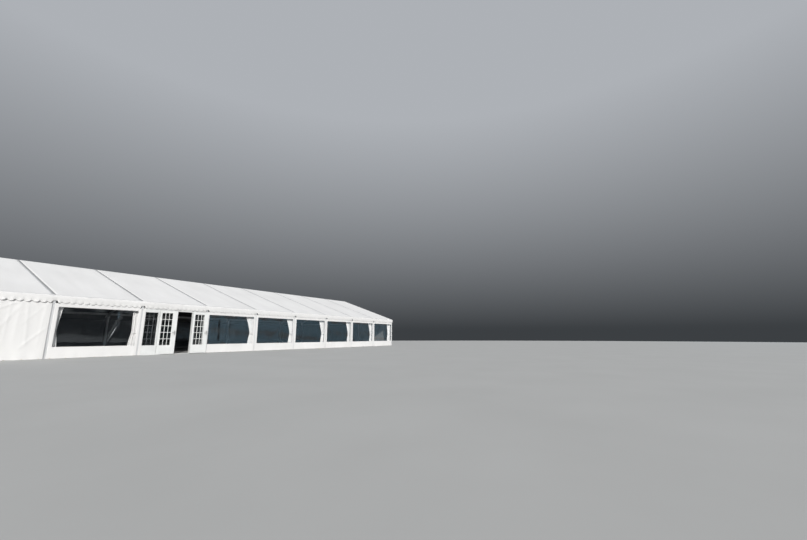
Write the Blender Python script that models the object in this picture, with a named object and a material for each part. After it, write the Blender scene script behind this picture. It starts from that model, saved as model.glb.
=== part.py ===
# A frame marquee, nine bays long, with clear windows, a double door and tied-back curtains.
# Metres, +Z up. The ridge runs along X, and the long front with the door faces -Y.
# Bays and portals are counted from the -X end.

import math

import bmesh
import bpy
from mathutils import Vector

# Overall plan
BAY_COUNT = 9
BAY_LENGTH = 3.0
SPAN = 12.0
EAVE_HEIGHT = 2.40
ROOF_PITCH = math.radians(19.0)

# Portal frames: box-section legs and rafters, with a knee at each corner
FRAME_WIDTH = 0.09
LEG_DEPTH = 0.13
RAFTER_DEPTH = 0.13
KNEE_REACH = 0.12
RIDGE_KNEE_REACH = 0.45
FOOT_REACH = 0.35
FOOT_THICKNESS = 0.012

# Beams that run the length of the marquee, let into the tops of the portals
EAVE_BEAM_DEPTH = 0.08
EAVE_BEAM_HEIGHT = 0.10
PURLIN_WIDTH = 0.08
PURLIN_DEPTH = 0.07
PURLIN_REACH = 3.0
RIDGE_BEAM_WIDTH = 0.10
RIDGE_BEAM_DEPTH = 0.11

# Gable frames
GABLE_POST_REACH = 2.0
GABLE_POST_WIDTH = 0.10
GABLE_RAIL_DROP = 0.23
GABLE_RAIL_HEIGHT = 0.09

# Coated cloth and clear film, thicker than the real sheets so that they are solids
SHEET = 0.008
FILM = 0.004
GAP = 0.0003
ROOF_JOINT = 0.05
WALL_JOINT = 0.02
EAVE_OVERHANG = 0.06
EAVE_LIP = 0.03
VERGE_OVERHANG = 0.02
VALANCE_DROP = 0.30
SCALLOPS_PER_BAY = 14
SCALLOP_DEPTH = 0.05
SCALLOP_SEGMENTS = 4
WALL_TOP_DROP = 0.02

# Windows
WINDOW_SIDE_BORDER = 0.15
WINDOW_SILL = 0.44
WINDOW_HEAD_DROP = 0.44
FILM_LAP = 0.05
PLAIN_BAY = 1
DOOR_BAY = 3

# Door unit in its bay
UNIT_CLEARANCE = 0.055
UNIT_DEPTH = 0.07
UNIT_POST = 0.05
DOOR_CLOTH_RISE = 0.06
DOOR_CLOTH_LAP = 0.03
THRESHOLD = 0.02
LEAF_WIDTH = 0.75
LEAF_TOP = 2.03
LEAF_THICKNESS = 0.045
LEAF_CLEARANCE = 0.006
LEAF_HINGE_STILE = 0.09
LEAF_CLOSING_STILE = 0.12
LEAF_TOP_RAIL = 0.09
KICK_HEIGHT = 0.42
GLASS = 0.006
LEFT_LEAF_OPEN = math.radians(10.0)
RIGHT_LEAF_OPEN = math.radians(170.0)

# Hinges and lever handles
HINGE_PROUD = 0.030
HINGE_RADIUS = 0.010
HINGE_KNUCKLE = 0.04
HINGE_FLAP = 0.024
HINGE_BITE = 0.002
HINGE_HEIGHTS = (0.30, 1.05, 1.80)
HANDLE_HEIGHT = 1.02
HANDLE_INSET = 0.06
HANDLE_PLATE_WIDTH = 0.036
HANDLE_PLATE_HEIGHT = 0.20
HANDLE_PLATE_PROUD = 0.006
HANDLE_REACH = 0.055
HANDLE_BAR = 0.018
HANDLE_LENGTH = 0.12

# Curtains. Each reach is measured along the wall from the centre line of the portal beside it.
CURTAIN_RAIL_HEIGHT = 0.03
CURTAIN_RAIL_DROP = 0.24
CURTAIN_THICKNESS = 0.09
CURTAIN_HEM = 0.02
CURTAIN_TIE_HEIGHT = 1.00
CURTAIN_BACK_REACH = 0.06
CURTAIN_HEAD_REACH = 0.58
CURTAIN_WAIST_REACH = 0.36
CURTAIN_FOOT_REACH = 0.50
LOOSE_HEAD_REACH = 0.33
LOOSE_FOOT_REACH = 0.48
NARROW_HEAD_REACH = 0.25
NARROW_WAIST_REACH = 0.21
NARROW_FOOT_REACH = 0.30
LOOSE_CURTAIN_BAY = 2

HALF_SPAN = SPAN / 2
SLOPE = math.tan(ROOF_PITCH)
CLOTH_INNER = HALF_SPAN + FILM + 2 * GAP
CLOTH_OUTER = CLOTH_INNER + SHEET
END_FACE = BAY_COUNT * BAY_LENGTH / 2 + FRAME_WIDTH / 2
GABLE_OUTER = END_FACE + GAP + SHEET
ROOF_END = GABLE_OUTER + VERGE_OVERHANG
WINDOW_HEAD = EAVE_HEIGHT - WINDOW_HEAD_DROP
UNIT_WIDTH = BAY_LENGTH - FRAME_WIDTH - 2 * UNIT_CLEARANCE
DOOR_OPENING = 2 * LEAF_WIDTH + 3 * LEAF_CLEARANCE
HINGE_OFFSET = DOOR_OPENING / 2 - LEAF_CLEARANCE / 2
HINGE_Y = -HALF_SPAN - HINGE_PROUD
LEAF_BOTTOM = THRESHOLD + LEAF_CLEARANCE
WINDOW_BAYS = [bay for bay in range(1, BAY_COUNT + 1) if bay not in (PLAIN_BAY, DOOR_BAY)]


def portal_x(number):
    """Centre line of a portal, where portal 0 stands at the -X end."""
    return (number - BAY_COUNT / 2) * BAY_LENGTH


def roof_line(y):
    """Height of the rafters' top face."""
    return EAVE_HEIGHT + (HALF_SPAN - abs(y)) * SLOPE


def rafter_underside(y):
    return roof_line(y) - RAFTER_DEPTH / math.cos(ROOF_PITCH)


def leaf_turned(x, y, angle):
    """Turn a point of a door leaf about its hinge, in plan."""
    return (x * math.cos(angle) - y * math.sin(angle), x * math.sin(angle) + y * math.cos(angle))


def open_leaf_reach():
    """How far the folded-back leaf and its handle stand in front of the legs."""
    inner_face = HINGE_PROUD + LEAF_THICKNESS
    handle_far = LEAF_CLEARANCE / 2 + LEAF_WIDTH - HANDLE_INSET + HANDLE_BAR / 2
    corners = (
        (-LEAF_CLEARANCE / 2 - LEAF_WIDTH, inner_face),
        (-handle_far, inner_face + HANDLE_REACH),
    )
    return HINGE_PROUD - min(leaf_turned(x, y, RIGHT_LEAF_OPEN)[1] for x, y in corners)


# The origin is under the middle of the whole box, so the ridge stands back by half of what
# the open door leaf adds in front.
RIDGE_BACK = (open_leaf_reach() - EAVE_OVERHANG) / 2


def clear_scene():
    for thing in list(bpy.data.objects):
        bpy.data.objects.remove(thing, do_unlink=True)


def make_material(name, colour, roughness, metallic=0.0, alpha=1.0):
    material = bpy.data.materials.new(name)
    material.use_nodes = True
    shader = material.node_tree.nodes["Principled BSDF"]
    shader.inputs["Base Color"].default_value = (*colour, 1.0)
    shader.inputs["Roughness"].default_value = roughness
    shader.inputs["Metallic"].default_value = metallic
    shader.inputs["Alpha"].default_value = alpha
    return material


def add_object(name, mesh_builder, material, parent):
    """Turn a bmesh into a named object under its parent, with its faces pointing out."""
    bmesh.ops.recalc_face_normals(mesh_builder, faces=mesh_builder.faces)
    mesh = bpy.data.meshes.new(name)
    mesh_builder.to_mesh(mesh)
    mesh_builder.free()
    thing = bpy.data.objects.new(name, mesh)
    thing.data.materials.append(material)
    bpy.context.scene.collection.objects.link(thing)
    thing.parent = parent
    return thing


def add_empty(name, location, turn, parent):
    empty = bpy.data.objects.new(name, None)
    empty.location = location
    empty.rotation_euler = (0.0, 0.0, turn)
    bpy.context.scene.collection.objects.link(empty)
    empty.parent = parent
    return empty


def add_prism(name, outline, direction, start, end, material, parent):
    """Extrude a flat outline along X, Y or Z. The outline's pairs are the other two axes."""
    places = {
        "X": lambda a, b: (start, a, b),
        "Y": lambda a, b: (a, start, b),
        "Z": lambda a, b: (a, b, start),
    }
    steps = {"X": (end - start, 0, 0), "Y": (0, end - start, 0), "Z": (0, 0, end - start)}
    builder = bmesh.new()
    corners = [builder.verts.new(places[direction](a, b)) for a, b in outline]
    face = builder.faces.new(corners)
    grown = bmesh.ops.extrude_face_region(builder, geom=[face])
    moved = [item for item in grown["geom"] if isinstance(item, bmesh.types.BMVert)]
    bmesh.ops.translate(builder, verts=moved, vec=steps[direction])
    return add_object(name, builder, material, parent)


def add_sheet(name, x_span, y_span, z_span, openings, material, parent):
    """An upright flat sheet across X and Z, with rectangular openings cut through it."""
    xs = sorted({*x_span, *(x for opening in openings for x in opening[:2])})
    zs = sorted({*z_span, *(z for opening in openings for z in opening[2:])})

    def solid(column, row):
        if not (0 <= column < len(xs) - 1 and 0 <= row < len(zs) - 1):
            return False
        x = (xs[column] + xs[column + 1]) / 2
        z = (zs[row] + zs[row + 1]) / 2
        return not any(left < x < right and low < z < high for left, right, low, high in openings)

    builder = bmesh.new()
    corners = {}

    def corner(column, row, side):
        key = (column, row, side)
        if key not in corners:
            corners[key] = builder.verts.new((xs[column], y_span[side], zs[row]))
        return corners[key]

    for column in range(len(xs) - 1):
        for row in range(len(zs) - 1):
            if not solid(column, row):
                continue
            ring = [(column, row), (column + 1, row), (column + 1, row + 1), (column, row + 1)]
            for side in (0, 1):
                builder.faces.new([corner(*place, side) for place in ring])
            beside = [(column, row - 1), (column + 1, row), (column, row + 1), (column - 1, row)]
            for index, neighbour in enumerate(beside):
                if not solid(*neighbour):
                    a, b = ring[index], ring[(index + 1) % 4]
                    builder.faces.new([corner(*a, 0), corner(*b, 0), corner(*b, 1), corner(*a, 1)])
    return add_object(name, builder, material, parent)


def unite(target, tool):
    """Weld a helper solid onto its target and hide the helper."""
    tool.hide_render = True
    tool.display_type = "WIRE"
    joined = target.modifiers.new(tool.name, "BOOLEAN")
    joined.operation = "UNION"
    joined.object = tool


def portal_outline():
    """Half of a portal from the front foot to the ridge, then the rear half as its mirror."""
    along = Vector((math.cos(ROOF_PITCH), math.sin(ROOF_PITCH)))
    down = Vector((math.sin(ROOF_PITCH), -math.cos(ROOF_PITCH)))
    beam_side = -HALF_SPAN + EAVE_BEAM_DEPTH + GAP
    beam_under = EAVE_HEIGHT - EAVE_BEAM_HEIGHT - GAP
    outer = [(-HALF_SPAN, 0.0), (-HALF_SPAN, beam_under), (beam_side, beam_under)]
    outer.append((beam_side, roof_line(beam_side)))
    seat = Vector((-PURLIN_REACH, roof_line(PURLIN_REACH)))
    half = along * (PURLIN_WIDTH / 2 + GAP)
    deep = down * (PURLIN_DEPTH + GAP)
    outer += [tuple(seat - half), tuple(seat - half + deep)]
    outer += [tuple(seat + half + deep), tuple(seat + half)]
    ridge_side = -RIDGE_BEAM_WIDTH / 2 - GAP
    outer.append((ridge_side, roof_line(ridge_side)))
    outer.append((ridge_side, roof_line(0.0) - RIDGE_BEAM_DEPTH - GAP))
    leg_inner = -HALF_SPAN + LEG_DEPTH
    knee_end = leg_inner + KNEE_REACH
    inner = [(-HALF_SPAN + FOOT_REACH, 0.0), (-HALF_SPAN + FOOT_REACH, FOOT_THICKNESS)]
    inner += [(leg_inner, FOOT_THICKNESS), (leg_inner, rafter_underside(leg_inner) - KNEE_REACH)]
    inner += [(knee_end, rafter_underside(knee_end))]
    inner += [(-RIDGE_KNEE_REACH, rafter_underside(RIDGE_KNEE_REACH))]
    outer += [(-y, z) for y, z in reversed(outer)]
    inner += [(-y, z) for y, z in reversed(inner)]
    return outer + list(reversed(inner))


def add_portals(material, parent):
    outline = portal_outline()
    for number in range(BAY_COUNT + 1):
        middle = portal_x(number)
        span = (middle - FRAME_WIDTH / 2, middle + FRAME_WIDTH / 2)
        add_prism(f"portal_{number + 1}", outline, "X", *span, material, parent)


def add_long_beams(material, parent):
    """The ridge beam, a purlin halfway up each slope, and a beam along each eave."""
    half = RIDGE_BEAM_WIDTH / 2
    low = roof_line(0.0) - RIDGE_BEAM_DEPTH
    ridge = [(-half, low), (half, low), (half, roof_line(half))]
    ridge += [(0.0, roof_line(0.0)), (-half, roof_line(half))]
    add_prism("ridge_beam", ridge, "X", -END_FACE, END_FACE, material, parent)
    seat = Vector((-PURLIN_REACH, roof_line(PURLIN_REACH)))
    across = Vector((math.cos(ROOF_PITCH), math.sin(ROOF_PITCH))) * (PURLIN_WIDTH / 2)
    deep = Vector((math.sin(ROOF_PITCH), -math.cos(ROOF_PITCH))) * PURLIN_DEPTH
    purlin = [seat - across, seat + across, seat + across + deep, seat - across + deep]
    beam_side = -HALF_SPAN + EAVE_BEAM_DEPTH
    low = EAVE_HEIGHT - EAVE_BEAM_HEIGHT
    eave = [(-HALF_SPAN, low), (beam_side, low)]
    eave += [(beam_side, roof_line(beam_side)), (-HALF_SPAN, EAVE_HEIGHT)]
    for side, sign in (("front", 1), ("rear", -1)):
        outline = [(sign * y, z) for y, z in purlin]
        add_prism(f"purlin_{side}", outline, "X", -END_FACE, END_FACE, material, parent)
        outline = [(sign * y, z) for y, z in eave]
        add_prism(f"eave_beam_{side}", outline, "X", -END_FACE, END_FACE, material, parent)


def add_gable_frames(material, parent):
    """Two posts and a cross rail that stiffen each gable, in the plane of the end portal."""
    rail_end = HALF_SPAN - LEG_DEPTH - GAP
    rail_top = EAVE_HEIGHT - GABLE_RAIL_DROP
    rail_under = rail_top - GABLE_RAIL_HEIGHT
    near = GABLE_POST_REACH - GABLE_POST_WIDTH / 2
    far = GABLE_POST_REACH + GABLE_POST_WIDTH / 2
    right = [(near, rail_under), (near, 0.0), (far, 0.0), (far, rail_under)]
    right += [(rail_end, rail_under), (rail_end, rail_top)]
    right += [(far, rail_top), (far, rafter_underside(far) - GAP)]
    right += [(near, rafter_underside(near) - GAP), (near, rail_top)]
    outline = right + [(-y, z) for y, z in reversed(right)]
    inner = END_FACE - FRAME_WIDTH
    for side, sign in (("left", -1), ("right", 1)):
        span = sorted((sign * inner, sign * END_FACE))
        add_prism(f"gable_frame_{side}", outline, "X", *span, material, parent)


def add_roof_sheets(material, parent):
    """One coated sheet over each bay, from eave to eave, with a hemmed lip along both eaves."""
    edge = HALF_SPAN + EAVE_OVERHANG
    thick = SHEET / math.cos(ROOF_PITCH)
    lip_bottom = roof_line(edge) - EAVE_LIP
    front = [(-edge + SHEET, lip_bottom), (-edge, lip_bottom), (-edge, roof_line(edge) + GAP + thick)]
    inner = [(-edge + SHEET, roof_line(edge - SHEET) + GAP)]
    outline = front + [(0.0, roof_line(0.0) + GAP + thick)]
    outline += [(-y, z) for y, z in reversed(front)]
    outline += [(-y, z) for y, z in inner] + [(0.0, roof_line(0.0) + GAP)] + inner
    for bay in range(1, BAY_COUNT + 1):
        start = -ROOF_END if bay == 1 else portal_x(bay - 1) + ROOF_JOINT / 2
        end = ROOF_END if bay == BAY_COUNT else portal_x(bay) - ROOF_JOINT / 2
        add_prism(f"roof_sheet_{bay}", outline, "X", start, end, material, parent)


def add_valances(material, parent):
    """The cloth strip that hangs from each eave, with a scalloped lower edge."""
    edge = HALF_SPAN + EAVE_OVERHANG
    top = roof_line(edge) - EAVE_LIP - GAP
    cusp = EAVE_HEIGHT - VALANCE_DROP + SCALLOP_DEPTH
    pitch = BAY_LENGTH / SCALLOPS_PER_BAY
    outline = [(ROOF_END, cusp), (ROOF_END, top), (-ROOF_END, top), (-ROOF_END, cusp)]
    for scallop in range(BAY_COUNT * SCALLOPS_PER_BAY):
        start = portal_x(0) + scallop * pitch
        for step in range(SCALLOP_SEGMENTS):
            part_way = step / SCALLOP_SEGMENTS
            drop = SCALLOP_DEPTH * math.sin(math.pi * part_way)
            outline.append((start + part_way * pitch, cusp - drop))
    outline.append((portal_x(BAY_COUNT), cusp))
    for side, sign in (("front", -1), ("rear", 1)):
        y_span = sorted((sign * edge, sign * (edge - SHEET)))
        add_prism(f"valance_{side}", outline, "Y", *y_span, material, parent)


def window_opening(bay):
    left = portal_x(bay - 1) + WINDOW_SIDE_BORDER
    right = portal_x(bay) - WINDOW_SIDE_BORDER
    return (left, right, WINDOW_SILL, WINDOW_HEAD)


def wall_span(bay):
    """From one portal to the next, closing flush with the end portals."""
    left = -END_FACE if bay == 1 else portal_x(bay - 1) + WALL_JOINT / 2
    right = END_FACE if bay == BAY_COUNT else portal_x(bay) - WALL_JOINT / 2
    return (left, right)


def add_front_walls(cloth, film, parent):
    top = EAVE_HEIGHT - WALL_TOP_DROP
    y_span = (-CLOTH_OUTER, -CLOTH_INNER)
    for bay in range(1, BAY_COUNT + 1):
        if bay == DOOR_BAY:
            middle = (portal_x(bay - 1) + portal_x(bay)) / 2
            half = UNIT_WIDTH / 2 - DOOR_CLOTH_LAP
            openings = [(middle - half, middle + half, 0.0, LEAF_TOP + DOOR_CLOTH_RISE)]
        elif bay in WINDOW_BAYS:
            openings = [window_opening(bay)]
        else:
            openings = []
        add_sheet(f"front_wall_{bay}", wall_span(bay), y_span, (0.0, top), openings, cloth, parent)
    film_y = (-HALF_SPAN - GAP - FILM, -HALF_SPAN - GAP)
    film_z = (WINDOW_SILL - FILM_LAP, WINDOW_HEAD + FILM_LAP)
    runs = ((PLAIN_BAY + 1, DOOR_BAY - 1), (DOOR_BAY + 1, BAY_COUNT))
    for first, last in runs:
        x_span = (portal_x(first - 1) - FRAME_WIDTH / 2, portal_x(last) + FRAME_WIDTH / 2)
        add_sheet(f"front_film_{first}_to_{last}", x_span, film_y, film_z, [], film, parent)


def add_rear_wall(cloth, film, parent):
    """The far side repeats the windows of the front, with no door."""
    top = EAVE_HEIGHT - WALL_TOP_DROP
    openings = [window_opening(bay) for bay in range(PLAIN_BAY + 1, BAY_COUNT + 1)]
    add_sheet("rear_wall", (-END_FACE, END_FACE), (CLOTH_INNER, CLOTH_OUTER), (0.0, top), openings,
              cloth, parent)
    film_y = (HALF_SPAN + GAP, HALF_SPAN + GAP + FILM)
    film_z = (WINDOW_SILL - FILM_LAP, WINDOW_HEAD + FILM_LAP)
    x_span = (portal_x(PLAIN_BAY) - FRAME_WIDTH / 2, portal_x(BAY_COUNT) + FRAME_WIDTH / 2)
    add_sheet("rear_film", x_span, film_y, film_z, [], film, parent)


def add_gable_walls(material, parent):
    """A five-sided sheet closes each end and covers the ends of the long walls."""
    outline = [(-CLOTH_OUTER, 0.0), (CLOTH_OUTER, 0.0), (CLOTH_OUTER, roof_line(CLOTH_OUTER))]
    outline += [(0.0, roof_line(0.0)), (-CLOTH_OUTER, roof_line(CLOTH_OUTER))]
    for side, sign in (("left", -1), ("right", 1)):
        span = sorted((sign * (END_FACE + GAP), sign * GABLE_OUTER))
        add_prism(f"gable_wall_{side}", outline, "X", *span, material, parent)


def hinge_lug(name, sign, axis, bottom, material, parent):
    """A hinge flap with its round knuckle. Sign says on which side of the pin the flap lies."""
    builder = bmesh.new()
    sides = 16
    for level in (bottom, bottom + HINGE_KNUCKLE):
        for step in range(sides):
            turn = 2 * math.pi * step / sides
            x = axis[0] + HINGE_RADIUS * math.cos(turn)
            builder.verts.new((x, axis[1] + HINGE_RADIUS * math.sin(turn), level))
        root = axis[1] + HINGE_PROUD + HINGE_BITE
        for x in (axis[0] + sign * LEAF_CLEARANCE, axis[0] + sign * (LEAF_CLEARANCE + HINGE_FLAP)):
            builder.verts.new((x, root, level))
    bmesh.ops.convex_hull(builder, input=builder.verts)
    return add_object(name, builder, material, parent)


def add_door_unit(frame_white, glass, parent):
    """The fixed frame: two posts each side, a deep head board, kick panels and a threshold."""
    middle = (portal_x(DOOR_BAY - 1) + portal_x(DOOR_BAY)) / 2
    top = EAVE_HEIGHT - EAVE_BEAM_HEIGHT - GAP
    opening = DOOR_OPENING / 2
    light_near = opening + UNIT_POST
    light_far = UNIT_WIDTH / 2 - UNIT_POST
    light_top = LEAF_TOP - LEAF_TOP_RAIL
    holes = [(middle - opening, middle + opening, THRESHOLD, LEAF_TOP + LEAF_CLEARANCE)]
    for sign in (-1, 1):
        sides = sorted((middle + sign * light_near, middle + sign * light_far))
        holes.append((*sides, KICK_HEIGHT, light_top))
    x_span = (middle - UNIT_WIDTH / 2, middle + UNIT_WIDTH / 2)
    y_span = (-HALF_SPAN, -HALF_SPAN + UNIT_DEPTH)
    unit = add_sheet("door_frame", x_span, y_span, (0.0, top), holes, frame_white, parent)
    for side, sign in (("left", -1), ("right", 1)):
        axis = (middle + sign * HINGE_OFFSET, HINGE_Y)
        for index, height in enumerate(HINGE_HEIGHTS):
            name = f"frame_hinge_{side}_{index}"
            unite(unit, hinge_lug(name, sign, axis, height, frame_white, parent))
        sides = sorted((middle + sign * (light_near + GAP), middle + sign * (light_far - GAP)))
        y_middle = -HALF_SPAN + UNIT_DEPTH / 2
        add_sheet(f"side_glass_{side}", sides, (y_middle - GLASS / 2, y_middle + GLASS / 2),
                  (KICK_HEIGHT + GAP, light_top - GAP), [], glass, parent)


def add_lever_handle(leaf, side, away, frame_white, hinge):
    """A back plate through the leaf and a lever on each face, pointing back to the hinge."""
    middle = away * (LEAF_CLEARANCE / 2 + LEAF_WIDTH - HANDLE_INSET)
    outer = HINGE_PROUD
    inner = HINGE_PROUD + LEAF_THICKNESS
    plate_x = (middle - HANDLE_PLATE_WIDTH / 2, middle + HANDLE_PLATE_WIDTH / 2)
    plate_y = (outer - HANDLE_PLATE_PROUD, inner + HANDLE_PLATE_PROUD)
    plate_z = (HANDLE_HEIGHT - HANDLE_PLATE_HEIGHT / 2, HANDLE_HEIGHT + HANDLE_PLATE_HEIGHT / 2)
    plate = add_sheet(f"handle_plate_{side}", plate_x, plate_y, plate_z, [], frame_white, hinge)
    unite(leaf, plate)
    half = HANDLE_BAR / 2
    for face, start, way in (("outer", outer, -1), ("inner", inner, 1)):
        tip = start + way * HANDLE_REACH
        back = tip - way * HANDLE_BAR
        root = start - way * HANDLE_PLATE_PROUD
        end = middle - away * HANDLE_LENGTH
        near = middle - away * half
        far = middle + away * half
        outline = [(far, root), (far, tip), (end, tip), (end, back), (near, back), (near, root)]
        lever = add_prism(f"lever_{side}_{face}", outline, "Z", HANDLE_HEIGHT - half,
                          HANDLE_HEIGHT + half, frame_white, hinge)
        unite(leaf, lever)


def add_door_leaves(frame_white, glass, parent):
    """Each leaf hangs from an empty on its hinge pin and is modelled closed, then swung open."""
    middle = (portal_x(DOOR_BAY - 1) + portal_x(DOOR_BAY)) / 2
    y_span = (HINGE_PROUD, HINGE_PROUD + LEAF_THICKNESS)
    near = LEAF_CLEARANCE / 2
    far = near + LEAF_WIDTH
    swings = (("left", 1, -LEFT_LEAF_OPEN), ("right", -1, RIGHT_LEAF_OPEN))
    for side, away, swing in swings:
        place = (middle - away * HINGE_OFFSET, HINGE_Y, 0.0)
        hinge = add_empty(f"hinge_pin_{side}", place, swing, parent)
        glass_x = (near + LEAF_HINGE_STILE, far - LEAF_CLOSING_STILE)
        light = sorted(away * x for x in glass_x)
        hole = (*light, KICK_HEIGHT, LEAF_TOP - LEAF_TOP_RAIL)
        leaf = add_sheet(f"door_leaf_{side}", sorted((away * near, away * far)), y_span,
                         (LEAF_BOTTOM, LEAF_TOP), [hole], frame_white, hinge)
        for index, height in enumerate(HINGE_HEIGHTS):
            bottom = height + HINGE_KNUCKLE + GAP
            name = f"leaf_hinge_{side}_{index}"
            unite(leaf, hinge_lug(name, away, (0.0, 0.0), bottom, frame_white, hinge))
        add_lever_handle(leaf, side, away, frame_white, hinge)
        y_middle = HINGE_PROUD + LEAF_THICKNESS / 2
        add_sheet(f"leaf_glass_{side}", (light[0] + GAP, light[1] - GAP),
                  (y_middle - GLASS / 2, y_middle + GLASS / 2),
                  (KICK_HEIGHT + GAP, LEAF_TOP - LEAF_TOP_RAIL - GAP), [], glass, hinge)


def curtain_drop(bay_side, away, head, waist, foot, top):
    """Lower outline of one curtain, from its edge by the leg down and back up its free edge."""
    edge = bay_side + away * CURTAIN_BACK_REACH
    points = [(edge, top), (edge, CURTAIN_HEM), (bay_side + away * foot, CURTAIN_HEM)]
    points += [(bay_side + away * waist, CURTAIN_TIE_HEIGHT), (bay_side + away * head, top)]
    return points


def add_curtains(material, parent):
    """A rail on the legs' inner faces, with a gathered curtain at the right of each window."""
    rail_top = EAVE_HEIGHT - CURTAIN_RAIL_DROP
    rail_under = rail_top - CURTAIN_RAIL_HEIGHT
    start = portal_x(PLAIN_BAY) - FRAME_WIDTH / 2
    end = portal_x(BAY_COUNT) - FRAME_WIDTH / 2 - GAP
    tied = (CURTAIN_HEAD_REACH, CURTAIN_WAIST_REACH, CURTAIN_FOOT_REACH)
    narrow = (NARROW_HEAD_REACH, NARROW_WAIST_REACH, NARROW_FOOT_REACH)
    loose = (LOOSE_HEAD_REACH, (LOOSE_HEAD_REACH + LOOSE_FOOT_REACH) / 2, LOOSE_FOOT_REACH)
    under = [(start, rail_under)]
    for bay in WINDOW_BAYS:
        if bay == LOOSE_CURTAIN_BAY:
            under += curtain_drop(portal_x(bay - 1), 1, *narrow, rail_under)
            under += reversed(curtain_drop(portal_x(bay), -1, *loose, rail_under))
        else:
            under += reversed(curtain_drop(portal_x(bay), -1, *tied, rail_under))
    outline = under + [(end, rail_under), (end, rail_top), (start, rail_top)]
    face = -HALF_SPAN + LEG_DEPTH + GAP
    add_prism("front_curtains", outline, "Y", face, face + CURTAIN_THICKNESS, material, parent)


clear_scene()
aluminium = make_material("frame_aluminium", (0.74, 0.76, 0.75), 0.35, metallic=1.0)
roof_cloth = make_material("roof_cloth", (0.86, 0.86, 0.84), 0.45)
wall_cloth = make_material("wall_cloth", (0.88, 0.88, 0.86), 0.45)
clear_film = make_material("clear_film", (0.75, 0.80, 0.80), 0.08, alpha=0.3)
door_white = make_material("door_white", (0.86, 0.87, 0.86), 0.35)
door_glass = make_material("door_glass", (0.70, 0.78, 0.78), 0.05, alpha=0.3)
curtain_cloth = make_material("curtain_cloth", (0.90, 0.89, 0.87), 0.85)

ground = add_empty("ground_centre", (0.0, RIDGE_BACK, 0.0), 0.0, None)
add_portals(aluminium, ground)
add_long_beams(aluminium, ground)
add_gable_frames(aluminium, ground)
add_roof_sheets(roof_cloth, ground)
add_valances(wall_cloth, ground)
add_front_walls(wall_cloth, clear_film, ground)
add_rear_wall(wall_cloth, clear_film, ground)
add_gable_walls(wall_cloth, ground)
add_door_unit(door_white, door_glass, ground)
add_door_leaves(door_white, door_glass, ground)
add_curtains(curtain_cloth, ground)
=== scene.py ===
import math

import bmesh
import bpy
import numpy as np
from mathutils import Matrix, Vector


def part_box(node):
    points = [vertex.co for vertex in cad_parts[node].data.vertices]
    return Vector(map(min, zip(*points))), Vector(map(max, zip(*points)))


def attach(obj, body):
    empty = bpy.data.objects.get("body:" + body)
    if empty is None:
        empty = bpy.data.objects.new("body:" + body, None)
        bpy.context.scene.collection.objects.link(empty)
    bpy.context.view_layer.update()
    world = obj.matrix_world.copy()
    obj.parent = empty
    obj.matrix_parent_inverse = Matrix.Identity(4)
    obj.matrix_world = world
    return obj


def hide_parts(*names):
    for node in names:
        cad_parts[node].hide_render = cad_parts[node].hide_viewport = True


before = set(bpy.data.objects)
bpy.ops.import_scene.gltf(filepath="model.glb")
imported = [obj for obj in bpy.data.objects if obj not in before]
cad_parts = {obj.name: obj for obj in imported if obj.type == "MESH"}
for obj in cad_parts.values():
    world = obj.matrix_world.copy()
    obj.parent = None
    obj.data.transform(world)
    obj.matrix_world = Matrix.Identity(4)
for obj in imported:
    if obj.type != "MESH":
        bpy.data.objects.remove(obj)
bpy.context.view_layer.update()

# Portal frames. Each is two legs and two rafters of extruded box section, satin anodised, that
# are bolted together through plates at the knees and at the ridge. They are the carried-over
# frame pieces, with their sharp edges eased as on an extrusion.
PORTAL_COUNT = sum(name.startswith("portal_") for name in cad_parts)
BAY_COUNT = PORTAL_COUNT - 1
EXTRUSION_EDGE = 0.003
WELD_REACH = 0.0001
GRAIN_LOW = 0.35
GRAIN_HIGH = 0.65


def wire(tree, kind, feeds=None, **settings):
    """Add a node with its settings, and feed its inputs with plain values or other outputs."""
    node = tree.nodes.new(kind)
    for title, value in settings.items():
        setattr(node, title, value)
    for title, value in (feeds or {}).items():
        if isinstance(value, bpy.types.NodeSocket):
            tree.links.new(value, node.inputs[title])
        else:
            node.inputs[title].default_value = value
    return node


def shader_of(material):
    return material.node_tree.nodes["Principled BSDF"].inputs


def plain_finish(name, colour, roughness, metallic=0.0, alpha=1.0, specular=0.5):
    """A material whose even values stand on the shader's own sockets."""
    material = bpy.data.materials.new(name)
    material.use_nodes = True
    values = {"Base Color": (*colour, 1.0), "Roughness": roughness, "Metallic": metallic,
              "Alpha": alpha, "Specular IOR Level": specular}
    for title, value in values.items():
        shader_of(material)[title].default_value = value
    return material


def grain(material, scale, stretch=(1.0, 1.0, 1.0), detail=4.0):
    """Noise on the piece's own coordinates, finer along the axes where stretch is larger."""
    tree = material.node_tree
    place = wire(tree, "ShaderNodeTexCoord").outputs["Object"]
    mapping = wire(tree, "ShaderNodeMapping", {"Vector": place, "Scale": stretch})
    return wire(tree, "ShaderNodeTexNoise", {"Vector": mapping.outputs["Vector"], "Scale": scale,
                                             "Detail": detail}).outputs["Fac"]


def level(material, low, high, *pattern):
    """A grain that is spread between two plain values."""
    return wire(material.node_tree, "ShaderNodeMapRange",
                {"Value": grain(material, *pattern), "From Min": GRAIN_LOW, "From Max": GRAIN_HIGH,
                 "To Min": low, "To Max": high}).outputs["Result"]


def tint(material, dark, light, *pattern):
    """Let a grain carry the colour from dark to light."""
    share = level(material, 0.0, 1.0, *pattern)
    mix = wire(material.node_tree, "ShaderNodeMix",
               {"Factor": share, "A": (*dark, 1.0), "B": (*light, 1.0)}, data_type="RGBA")
    material.node_tree.links.new(mix.outputs["Result"], shader_of(material)["Base Color"])


def polish(material, smooth, rough, *pattern):
    """Let a grain carry the roughness from smooth to rough."""
    sheen = level(material, smooth, rough, *pattern)
    material.node_tree.links.new(sheen, shader_of(material)["Roughness"])


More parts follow.
